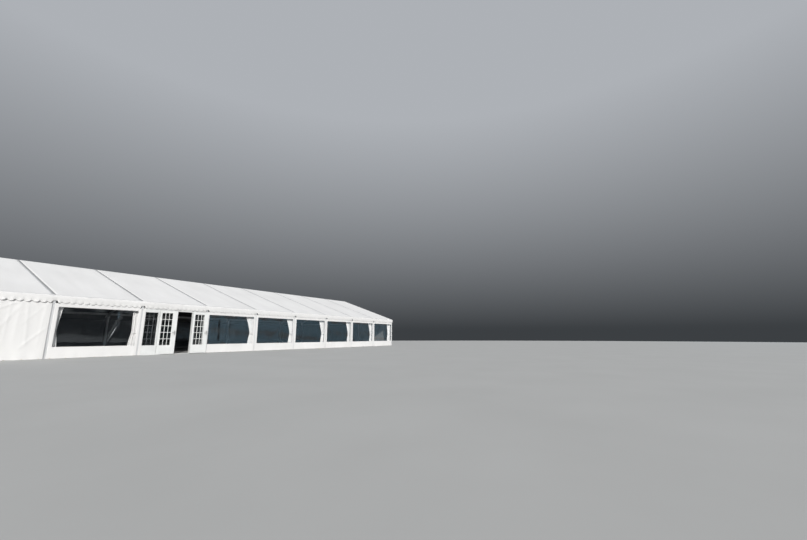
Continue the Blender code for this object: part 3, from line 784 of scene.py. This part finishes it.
# Hem eyelets. Brass eyelets are punched along the foot of each wall panel, and each has the round
# head of a brass stud in it, which fastens the hem to the ground.
brass = plain_finish("dulled brass eyelets", (0.62, 0.52, 0.30), 0.40, metallic=1.0)
polish(brass, 0.30, 0.50, 200.0)
emboss(brass, 0.0002, 600.0)
set_fixings("hem_eyelets", eyelet_places, eyelet_facings, fixing_tree(brass),
            (0.005, 0.004, 0.011, 0.0015, 10))

# Window film. A sheet of clear soft plastic is welded behind each opening. It never lies quite
# flat, and its slow ripples and a few upright creases catch the light in streaks. The second
# bay's film has one deep slanting crease.
FILM_LAP = 0.035
FILM_FACE = HALF_SPAN + 0.0045
FILM_THICKNESS = 0.001
FILM_SLACK = 0.007
FILM_STEPS = {"front": 0.04, "rear": 0.06, "creased": 0.025}
CREASED_BAY = 2
ripples = (3.0, (1.0, 1.0, 0.35), 1.0)
clear_film = plain_finish("clear window film", (0.85, 0.92, 0.97), 0.10, metallic=1.0, alpha=0.05)
emboss(clear_film, 0.004, *ripples)
# The rear films are painted near-black and nearly opaque: painted shade, so that the inside looks dark
# through the front windows.
rear_film_painted_shade = plain_finish("rear window film in painted shade", (0.02, 0.025, 0.03), 0.12, alpha=0.7)
emboss(rear_film_painted_shade, 0.01, *ripples)
for side, title in LONG_SIDES:
    for bay in range(PLAIN_BAY + 1, BAY_COUNT + 1):
        if side < 0 and bay == DOOR_BAY:
            continue
        left, right, low, high = window_of(bay)
        rng = np.random.default_rng(400 + bay + 50 * (side > 0))
        streaks = [((left + (right - left) * rng.uniform(0.1, 0.95), high),
                    (left + (right - left) * rng.uniform(0.1, 0.95), low),
                    rng.uniform(0.05, 0.09), rng.uniform(0.003, 0.006)) for streak in range(3)]
        step = FILM_STEPS[title]
        stand_in = "rear_film" if side > 0 else "front_film_4_to_9"
        if side < 0 and bay == CREASED_BAY:
            streaks = [((right - 0.68, high + 0.4), (right - 0.66, 1.15), 0.05, 0.016),
                       ((right - 0.58, 1.72), (right - 1.14, low - 0.05), 0.05, 0.0362)]
            step = FILM_STEPS["creased"]
            stand_in = "front_film_2_to_2"
        phase = rng.uniform(0, 2 * np.pi, 2)

        def film_shape(u, v):
            held = ramp(np.minimum(inset(u, left, right), inset(v, low, high)), 0.15)
            slack = 0.004 * wave(u, 1.1, v + phase[0]) + 0.003 * wave(v, 0.9, 0.7 * u + phase[1])
            slack += creased(u, v, streaks)
            return u, RIDGE_Y + side * (FILM_FACE - (slack + FILM_SLACK) * held), v

        film = cloth_piece(f"window_{title}_{bay}", spaced(left - FILM_LAP, right + FILM_LAP, step),
                           spaced(low - FILM_LAP, high + FILM_LAP, step), film_shape,
                           [clear_film if side < 0 else rear_film_painted_shade], replaced=stand_in,
                           thickness=FILM_THICKNESS, flip=side > 0)

# Gable walls. Three panels of the wall cloth close each end, corded into the corner legs, the two
# posts and the rafters, with a grooved track where they meet on the posts.
POST_REACH = 2.0
POST_TRACK_DROP = 0.16
GABLE_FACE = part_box("gable_wall_right")[0].x + 0.003
GABLE_EDGE = HALF_SPAN + 0.010
GABLE_STEP = 0.09
GABLE_TOP_GAP = 0.004
gable_stops = (-GABLE_EDGE, -POST_REACH, POST_REACH, GABLE_EDGE)
gable_tracks = bmesh.new()
for end, title in ((-1, "left"), (1, "right")):
    for index, (near, far) in enumerate(zip(gable_stops, gable_stops[1:]), start=1):
        start = near if near == -GABLE_EDGE else near + WALL_EDGE
        stop = far if far == GABLE_EDGE else far - WALL_EDGE
        rng = np.random.default_rng(500 + index + 10 * end)
        folds = folds_for(start, stop, 0.0, rafter_top(max(abs(start), abs(stop))), rng, False)
        phase = rng.uniform(0, 2 * np.pi)

        def gable_shape(u, v):
            top = rafter_top(np.abs(u)) - GABLE_TOP_GAP
            z = WALL_FOOT + (top - WALL_FOOT) * v
            held = ramp(np.minimum(inset(u, start, stop), top - z), 0.15)
            proud = 0.003 * (1 + wave(u, 0.8, phase)) + creased(u, z, folds)
            return end * (GABLE_FACE + proud * held), RIDGE_Y + u, z

        top = rafter_top(min(abs(start), abs(stop))) if index != 2 else APEX
        panel = cloth_piece(f"gable_cloth_{title}_{index}", cut_lines(start, stop, (0.0,), GABLE_STEP),
                            np.linspace(0, 1, math.ceil(top / GABLE_STEP)), gable_shape,
                            [wall_cloth, wall_inner_painted_shade], replaced=f"gable_wall_{title}", flip=end < 0)
    for reach in (-POST_REACH, POST_REACH):
        path = [Vector((end * (GABLE_FACE - 0.003), RIDGE_Y + reach, z))
                for z in (LEG_TRACK_FOOT, rafter_top(POST_REACH) - POST_TRACK_DROP)]
        run_section(gable_tracks, path, leg_profile, Vector((0.0, -end, 0.0)))
close_piece("gable_tracks", gable_tracks, leg_metal)

# Fixed door unit. White painted aluminium: posts, a deep head board and a side light each side
# of the opening, with slim glazing bars and a boarded panel below the glass. The side lights' bars
# are painted grey, as painted shade.
DOOR_MIDDLE = (door_low.x + door_high.x) / 2
UNIT_FACE = RIDGE_Y - HALF_SPAN
BAR_WIDTH = 0.022
BAR_PROUD = 0.008
BEAD = 0.012
PANE_COLUMNS = 3
PANE_ROWS = 5
LIGHT_BAR = 0.016
GLASS_HALF = 0.003
GLASS_GAP = 0.0002
PANEL_LAP = 0.02
PANEL_MARGIN = 0.05
PANEL_STEPS = ((0.0, 0.004), (0.025, 0.009))
DOOR_EDGE = 0.002


def painted(name, light, dark):
    """Powder-coated white: an even satin with a faint orange-peel surface and grime in the lees."""
    material = plain_finish(name, light, 0.35)
    tint(material, dark, light, 3.0)
    polish(material, 0.28, 0.42, 25.0)
    emboss(material, 0.0003, 450.0)
    return material


def add_block(builder, *spans):
    """One rectangular block over its spans of x, y and z, for bars, boards and plates."""
    low, high = (Vector(ends) for ends in zip(*spans))
    made = bmesh.ops.create_cube(builder, size=1.0)
    place = Matrix.LocRotScale((low + high) / 2, None, high - low)
    bmesh.ops.transform(builder, matrix=place, verts=made["verts"])


def pane_faces(middle):
    """Both faces of a pane that stands at a y, as pairs of y and way."""
    return [(middle + way * (GLASS_HALF + GLASS_GAP), way) for way in (-1, 1)]


def add_bars(builder, x_span, z_span, faces, width):
    """Glazing bars on the faces of a pane."""
    for y, way in faces:
        depth = sorted((y, y + way * BAR_PROUD))
        lower = sorted((y + way * GLASS_GAP, y + way * (BAR_PROUD - 0.001)))
        for column in range(1, PANE_COLUMNS):
            x = x_span[0] + (x_span[1] - x_span[0]) * column / PANE_COLUMNS
            add_block(builder, (x - width / 2, x + width / 2), depth,
                      (z_span[0] + BEAD, z_span[1] - BEAD))
        for row in range(1, PANE_ROWS):
            z = z_span[0] + (z_span[1] - z_span[0]) * row / PANE_ROWS
            add_block(builder, (x_span[0] + BEAD, x_span[1] - BEAD), lower,
                      (z - width / 2, z + width / 2))


def add_beads(builder, x_span, z_span, faces):
    """A bead round each face of a pane."""
    inner = (x_span[0] + BEAD, x_span[1] - BEAD)
    for y, way in faces:
        depth = sorted((y, y + way * BAR_PROUD))
        add_block(builder, (x_span[0], inner[0]), depth, z_span)
        add_block(builder, (inner[1], x_span[1]), depth, z_span)
        add_block(builder, inner, depth, (z_span[0], z_span[0] + BEAD))
        add_block(builder, inner, depth, (z_span[1] - BEAD, z_span[1]))


def add_raised_panel(builder, x_span, z_span, y, way, margin):
    """A fielded panel that stands a little off the board behind it."""
    for step_in, proud in PANEL_STEPS:
        x_low, z_low = (span[0] + margin + step_in for span in (x_span, z_span))
        x_high, z_high = (span[1] - margin - step_in for span in (x_span, z_span))
        add_block(builder, (x_low, x_high), sorted((y, y + way * proud)), (z_low, z_high))


door_white = painted("door paint", (0.80, 0.81, 0.80), (0.74, 0.75, 0.74))
# The side lights' glazing bars are painted grey where the leaves' bars are white: painted shade.
bar_paint_in_shade = painted("glazing bars in painted shade", (0.30, 0.31, 0.33), (0.25, 0.26, 0.28))
door_glass = plain_finish("door glass", (0.02, 0.025, 0.025), 0.03, alpha=0.16)
emboss(door_glass, 0.004, 1.5, (1.0, 1.0, 1.0), 1.0)
dress("door_frame", door_white)
unit = bmesh.new()
light_bars = bmesh.new()
for title in ("left", "right"):
    low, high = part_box(f"side_glass_{title}")
    faces = pane_faces((low.y + high.y) / 2)
    add_beads(unit, (low.x, high.x), (low.z, high.z), faces)
    add_bars(light_bars, (low.x, high.x), (low.z, high.z), faces[1:], LIGHT_BAR)
    add_raised_panel(unit, (low.x - PANEL_LAP, high.x + PANEL_LAP), (0.0, low.z), UNIT_FACE, -1,
                     PANEL_MARGIN)
    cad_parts[f"side_glass_{title}"].material_slots[0].material = door_glass
ease_edges(close_piece("door_unit_trim", unit, door_white), DOOR_EDGE)
ease_edges(close_piece("side_light_bars", light_bars, bar_paint_in_shade), DOOR_EDGE)

# Threshold. A strip of extruded aluminium, ribbed against slipping, is screwed on the sill of the
# doorway.
SILL_TOP = 0.0203
SILL_HALF_LENGTH = 0.75
SILL_HALF_WIDTH = 0.024
SILL_THICKNESS = 0.001
RIB_HALF = 0.001
RIB_PITCH = 0.007
RIB_HEIGHT = 0.0015
sill = bmesh.new()
sill_middle = (door_low.y + door_high.y) / 2 + 0.005
sill_span = (DOOR_MIDDLE - SILL_HALF_LENGTH, DOOR_MIDDLE + SILL_HALF_LENGTH)
rib_foot = SILL_TOP + SILL_THICKNESS
add_block(sill, sill_span, (sill_middle - SILL_HALF_WIDTH, sill_middle + SILL_HALF_WIDTH),
          (SILL_TOP, rib_foot))
for rib in range(-3, 4):
    y = sill_middle + rib * RIB_PITCH
    add_block(sill, sill_span, (y - RIB_HALF, y + RIB_HALF), (rib_foot, rib_foot + RIB_HEIGHT))
close_piece("threshold_strip", sill, frame_metal)

# Door leaves. Two outward-opening leaves of the same white section, each with a wide closing
# stile, three columns of panes, a fielded kick panel and a lever handle. Each is drawn shut with
# its pin at the origin, and is then turned to its rest place.
PIN_REACH = 0.756
PIN_Y = RIDGE_Y - HALF_SPAN - 0.030
LEAF_FAR = 0.753
LEAF_FRONT = 0.030
LEAF_BACK = 0.075
LEAF_LIGHT = (0.093, 0.553)
LIGHT_SPAN = (0.42, 1.94)
LOCK_BOARD = 0.08
KICK_FOOT = 0.05
KICK_LAP = 0.03
KICK_MARGIN = 0.04
HANDLE_PLACE = Vector((LEAF_FAR - 0.06, 0.0, 1.02))
HANDLE_REACH = 0.0565
HANDLE_LENGTH = 0.121
HANDLE_HALF = 0.0105
HANDLE_PLATE_HALF = (0.020, 0.103)
HANDLE_PLATE_PROUD = 0.0075
CYLINDER_DROP = 0.065
handle_metal = plain_finish("brushed steel handles", (0.74, 0.74, 0.72), 0.28, metallic=1.0)
polish(handle_metal, 0.26, 0.32, 60.0)
emboss(handle_metal, 0.00001, 800.0)
lock_fixings = fixing_tree(handle_metal)


def add_handle(builder, face, way):
    """A plate and a lever that points back to the hinges, on one face of a leaf."""
    x, z = HANDLE_PLACE.x, HANDLE_PLACE.z
    half_x, half_z = HANDLE_PLATE_HALF
    plate = sorted((face, face + way * HANDLE_PLATE_PROUD))
    add_block(builder, (x - half_x, x + half_x), plate, (z - half_z, z + half_z))
    tip = face + way * HANDLE_REACH
    bar = sorted((tip, tip - way * 2 * HANDLE_HALF))
    height = (z - HANDLE_HALF, z + HANDLE_HALF)
    add_block(builder, (x - HANDLE_HALF, x + HANDLE_HALF), sorted((face, tip)), height)
    add_block(builder, (x - HANDLE_LENGTH, x - HANDLE_HALF), bar, height)


for title, away, rest in (("left", 1, -10.0), ("right", -1, 170.0)):
    body = f"{title}_door"
    trim = bmesh.new()
    handle = bmesh.new()
    faces = pane_faces((LEAF_FRONT + LEAF_BACK) / 2)
    board = (LEAF_LIGHT[1], LEAF_LIGHT[1] + LOCK_BOARD)
    add_beads(trim, LEAF_LIGHT, LIGHT_SPAN, faces)
    add_bars(trim, LEAF_LIGHT, LIGHT_SPAN, faces, BAR_WIDTH)
    add_block(trim, board, (LEAF_FRONT + 0.001, LEAF_BACK - 0.001), LIGHT_SPAN)
    pin = Matrix.Translation((DOOR_MIDDLE - away * PIN_REACH, PIN_Y, 0.0))
    hung = pin @ Matrix.Rotation(math.radians(rest), 4, "Z") @ Matrix.Diagonal((away, 1.0, 1.0, 1.0))
    places = []
    facings = []
    for y, way in ((LEAF_FRONT, -1), (LEAF_BACK, 1)):
        add_raised_panel(trim, (LEAF_LIGHT[0] - KICK_LAP, board[1] + KICK_LAP),
                         (KICK_FOOT, LIGHT_SPAN[0]), y, way, KICK_MARGIN)
        add_handle(handle, y, way)
        places.append(hung @ (HANDLE_PLACE + Vector((0.0, y + way * HANDLE_PLATE_PROUD,
                                                     -CYLINDER_DROP))))
        facings.append(hung.to_3x3() @ Vector((0.0, way, 0.0)))
    for builder in (trim, handle):
        bmesh.ops.transform(builder, matrix=hung, verts=builder.verts)
    ease_edges(close_piece(f"leaf_trim_{title}", trim, door_white, body), DOOR_EDGE)
    ease_edges(close_piece(f"lever_handles_{title}", handle, handle_metal, body),
               DOOR_EDGE, 3)
    set_fixings(f"lock_cylinders_{title}", places, facings, lock_fixings,
                (0.005, 0.003, 0.0085, 0.003, 12), body)
    dress(f"door_leaf_{title}", door_white, DOOR_EDGE)
    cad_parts[f"leaf_glass_{title}"].material_slots[0].material = door_glass

# Curtain rail. A slotted aluminium box section runs along the front legs, from the second portal
# to the last, and a block holds it off each leg that it passes.
rail_low, rail_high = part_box("front_curtains")
RAIL_UNDER = rail_high.z - 0.03
RAIL_HALF = 0.014
RAIL_HEIGHT = 0.028
RAIL_WALL = 0.003
RAIL_SLOT = 0.004
RAIL_END = portal_places[-1] - LEG_WIDTH / 2 - 0.001
BLOCK_HALF = 0.015
BLOCK_SPAN = (RAIL_UNDER + 0.004, RAIL_UNDER + 0.026)
CURTAIN_MIDDLE = (rail_low.y + rail_high.y) / 2
rail_inner = RAIL_HALF - RAIL_WALL
rail_roof = RAIL_HEIGHT - 0.004
rail_profile = [(-RAIL_HALF, 0.0), (-RAIL_SLOT, 0.0), (-RAIL_SLOT, RAIL_WALL), (-rail_inner, RAIL_WALL),
                (-rail_inner, rail_roof), (rail_inner, rail_roof), (rail_inner, RAIL_WALL),
                (RAIL_SLOT, RAIL_WALL), (RAIL_SLOT, 0.0), (RAIL_HALF, 0.0), (RAIL_HALF, RAIL_HEIGHT),
                (-RAIL_HALF, RAIL_HEIGHT)]
rail = bmesh.new()
path = [Vector((x, CURTAIN_MIDDLE, RAIL_UNDER))
        for x in (portal_places[PLAIN_BAY] - LEG_WIDTH / 2, RAIL_END)]
run_section(rail, path, rail_profile, Vector((0.0, 1.0, 0.0)))
for middle in portal_places[PLAIN_BAY:-1]:
    add_block(rail, (middle - BLOCK_HALF, middle + BLOCK_HALF), (rail_low.y, CURTAIN_MIDDLE - RAIL_HALF),
              BLOCK_SPAN)
close_piece("curtain_rail", rail, frame_metal)

# Curtains. White voile, gathered on a taped heading that hangs from nylon gliders. Each is drawn
# to the right of its window and held to the leg by a tie-back, and the second bay has a narrow
# one at its left as well.
CURTAIN_HEM = 0.02
CURTAIN_TOP = RAIL_UNDER - 0.012
CURTAIN_DROP = CURTAIN_TOP - CURTAIN_HEM
VOILE = 0.0012
FULLNESS = 1.6
HEADING = 0.07
HEADING_PROUD = 0.0016
PLEAT_DEPTH = 0.033
PLEATS_A_METRE = 14
TIE_HEIGHT = 1.00
TIE_WIDTH = 0.055
TIE_CLEARANCE = 0.044
TIE_AT_LEG = 0.006
curtain_cloth = plain_finish("curtain voile", (0.90, 0.89, 0.88), 0.9)
tint(curtain_cloth, (0.87, 0.86, 0.85), (0.92, 0.91, 0.90), 2.0)
polish(curtain_cloth, 0.85, 0.95, 8.0)
emboss(curtain_cloth, 0.0003, 500.0)
nylon = plain_finish("white nylon gliders", (0.75, 0.75, 0.73), 0.45)
polish(nylon, 0.40, 0.55, 200.0)
gliders = []


def gathered_curtain(name, start, away, head, waist, foot, seed, back=-0.05):
    """A curtain whose back edge hangs by a leg and whose free edge swings in to its tie."""
    rng = np.random.default_rng(seed)
    pleats = max(4, round(head * PLEATS_A_METRE))
    cloth_width = FULLNESS * (head - back)
    phase = rng.uniform(0, 2 * np.pi, 3)

    def shape(u, v, step_back=0.0):
        z = CURTAIN_TOP - CURTAIN_DROP * v
        above = ramp(z - TIE_HEIGHT, CURTAIN_TOP - TIE_HEIGHT)
        below = ramp(TIE_HEIGHT - z, TIE_HEIGHT - CURTAIN_HEM)
        width = waist + (head - waist) * above**1.3 + (foot - waist) * (1 - (1 - below) ** 2.2) - back
        drift = 0.08 * np.sin(2 * np.pi * (u * 1.3 + v * 0.8) + phase[0]) * np.sin(np.pi * v)
        fold = np.sin(2 * np.pi * (pleats * u + drift))
        depth = width / (2 * np.pi * pleats) * math.sqrt(2) * np.sqrt(
            np.maximum((cloth_width / width) ** 2 - 1, 0.05))
        swell = np.minimum(depth, PLEAT_DEPTH) * (0.75 + 0.25 * np.sin(2 * np.pi * u * 2.3 + phase[1]))
        lean = 0.18 * fold * width / pleats
        x = start + away * (back + width * u + lean * np.sin(np.pi * u))
        y = CURTAIN_MIDDLE + swell * fold + 0.004 * np.sin(3 * v + phase[2])
        return x, y + step_back, z

    def tape_shape(u, v):
        return shape(u, v, HEADING_PROUD)

    def tie_shape(u, v):
        """A loop from the leg round the curtain, u running from the leg's hook and back to it."""
        turn = 2 * np.pi * (u - 0.5)
        half_x = (waist - back) / 2 + 0.008
        pinch = ramp(1 - np.abs(turn) / np.pi, 0.25)
        x = start + away * (back - 0.008 + half_x + half_x * np.cos(turn))
        y = CURTAIN_MIDDLE + (TIE_AT_LEG + (TIE_CLEARANCE - TIE_AT_LEG) * pinch) * np.sin(turn)
        return x, y, TIE_HEIGHT - 0.03 * np.cos(turn) + TIE_WIDTH * (v - 0.5)

    columns = np.linspace(0, 1, pleats * 10 + 1)
    drape, tape, tie = (
        cloth_piece(title, us, vs, form, [curtain_cloth], replaced, thickness=thickness,
                    flip=away > 0)
        for title, us, vs, form, replaced, thickness in (
            (name, columns, np.linspace(0, 1, 61), shape, "front_curtains", VOILE),
            (f"{name}_tape", columns, np.linspace(0, HEADING / CURTAIN_DROP, 3), tape_shape, None,
             VOILE),
            (f"{name}_tie", np.linspace(0.02, 0.98, 49), np.linspace(0, 1, 4), tie_shape, None,
             0.002)))
    hooks = shape((np.arange(pleats) + 0.5) / pleats, np.zeros(pleats))[0]
    gliders.extend((x, CURTAIN_MIDDLE, RAIL_UNDER + RAIL_WALL) for x in hooks)


for bay in range(2, BAY_COUNT + 1):
    right = portal_places[bay]
    if bay == 2:
        gathered_curtain("curtain_2_left", portal_places[1], 1, 0.36, 0.24, 0.34, 602)
        gathered_curtain("curtain_2_right", right, -1, 0.29, 0.26, 0.36, 612)
    elif bay == BAY_COUNT:
        gathered_curtain(f"curtain_{bay}", right, -1, 0.60, 0.46, 0.58, 600 + bay, 0.05)
    elif bay != DOOR_BAY:
        gathered_curtain(f"curtain_{bay}", right, -1, 0.60, 0.25, 0.37, 600 + bay)
set_fixings("curtain_gliders", gliders, [(0.0, 0.0, -1.0)] * len(gliders), fixing_tree(nylon),
            (0.003, 0.016, 0.006, 0.0025, 8))

# Setting. A plain pale floor under soft daylight from the camera's side, and a plain sky-grey
# surround that darkens towards the horizon.
FLOOR_REACH = 58.0
FLOOR_MIDDLE = (5.0, -25.0, -0.002)
FLOOR_SIDES = 96
SKY_STOPS = ((-0.08, (0.34, 0.345, 0.35)), (-0.02, (0.045, 0.05, 0.055)),
             (0.02, (0.045, 0.05, 0.055)), (0.55, (0.42, 0.44, 0.47)))
SUN_PLACE = Vector((-0.52, -0.745, 0.42))
PANEL_SIZE = (75.0, 20.0)
PANEL_PLACE = Vector((75.0, -75.0, 9.0))
scene = bpy.context.scene
floor_mesh = bmesh.new()
bmesh.ops.create_circle(floor_mesh, cap_ends=True, segments=FLOOR_SIDES, radius=FLOOR_REACH)
floor_data = bpy.data.meshes.new("floor")
floor_mesh.to_mesh(floor_data)
floor_mesh.free()
floor = linked("floor", floor_data)
floor.location = FLOOR_MIDDLE
floor_finish = plain_finish("pale floor", (0.50, 0.50, 0.49), 0.9)
tint(floor_finish, (0.49, 0.49, 0.48), (0.51, 0.51, 0.50), 0.6)
floor_data.materials.append(floor_finish)

scene.world = bpy.data.worlds.new("surround")
scene.world.use_nodes = True
surround = scene.world.node_tree
look = wire(surround, "ShaderNodeTexCoord")
parts = wire(surround, "ShaderNodeSeparateXYZ", {"Vector": look.outputs["Generated"]})
climb = wire(surround, "ShaderNodeMapRange", {"Value": parts.outputs["Z"], "From Min": -1.0})
shades = wire(surround, "ShaderNodeValToRGB", {"Fac": climb.outputs["Result"]})
while len(shades.color_ramp.elements) < len(SKY_STOPS):
    shades.color_ramp.elements.new(0.5)
for stop, (height, colour) in zip(shades.color_ramp.elements, SKY_STOPS):
    stop.position = (height + 1) / 2
    stop.color = (*colour, 1.0)
surround.links.new(shades.outputs["Color"], surround.nodes["Background"].inputs["Color"])



def soft_light(name, kind, source, **settings):
    """A light that shines from its source towards the marquee."""
    lamp = bpy.data.lights.new(name, kind)
    for title, value in settings.items():
        setattr(lamp, title, value)
    made = linked(name, lamp)
    made.rotation_euler = source.to_track_quat("Z", "Y").to_euler()
    return made


soft_light("soft_sun", "SUN", SUN_PLACE, energy=3.0, angle=math.radians(2.5), color=(1.0, 0.985, 0.96))
panel = soft_light("soft_panel", "AREA", PANEL_PLACE, shape="RECTANGLE", size=PANEL_SIZE[0],
                   size_y=PANEL_SIZE[1], color=(0.55, 0.83, 1.0), energy=3200.0)
panel.location = PANEL_PLACE
panel.visible_camera = False

# Camera. A wide lens stands low in front of the first bays, and looks along the front and a
# little up.
CAMERA_PLACE = (-15.318, -24.412, 0.831)
CAMERA_HEADING = 30.84
CAMERA_RISE = 10.64
CAMERA_LENS = 15.80
camera_data = bpy.data.cameras.new("camera")
camera_data.sensor_width = 36.0
camera_data.lens = CAMERA_LENS
camera = linked("camera", camera_data)
camera.location = CAMERA_PLACE
camera.rotation_euler = (math.radians(90.0 + CAMERA_RISE), 0.0, math.radians(CAMERA_HEADING - 90.0))
scene.camera = camera
scene.view_settings.view_transform = "Standard"
